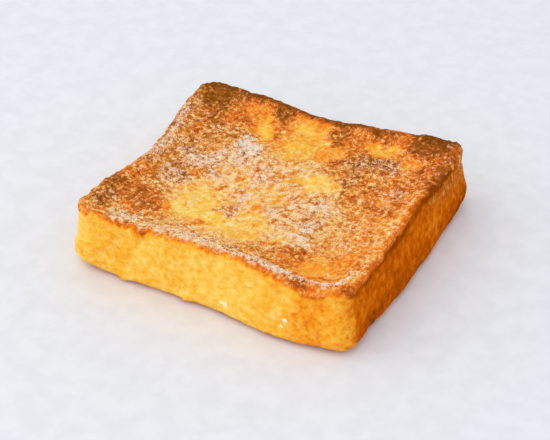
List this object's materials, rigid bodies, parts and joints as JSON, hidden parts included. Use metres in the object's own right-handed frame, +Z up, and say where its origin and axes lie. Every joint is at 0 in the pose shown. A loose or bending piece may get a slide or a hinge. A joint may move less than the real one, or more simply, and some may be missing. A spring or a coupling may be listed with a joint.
{
  "type": "french toast",
  "caption": "Thick square slice of french toast, soaked loaf with the crust trimmed off, fried brown on both faces, with a dished top.",
  "frame": {"origin": "middle of the underside of the slice's bounding box, on the surface it rests on", "axes": "+X along the slice's longer edges, towards the right as seen from its front side, +Y from its front side to its back, +Z up, from the face it rests on to the browned face that shows"},
  "size_m": [0.1224, 0.1154, 0.0281],
  "materials": {
    "custard_loaf": "egg-soaked loaf fried golden, brown on the faces, satin where it is moist, with a dusting of sugar"
  },
  "bodies": {
    "root": {"french_toast": "custard_loaf"}
  },
  "joints": []
}
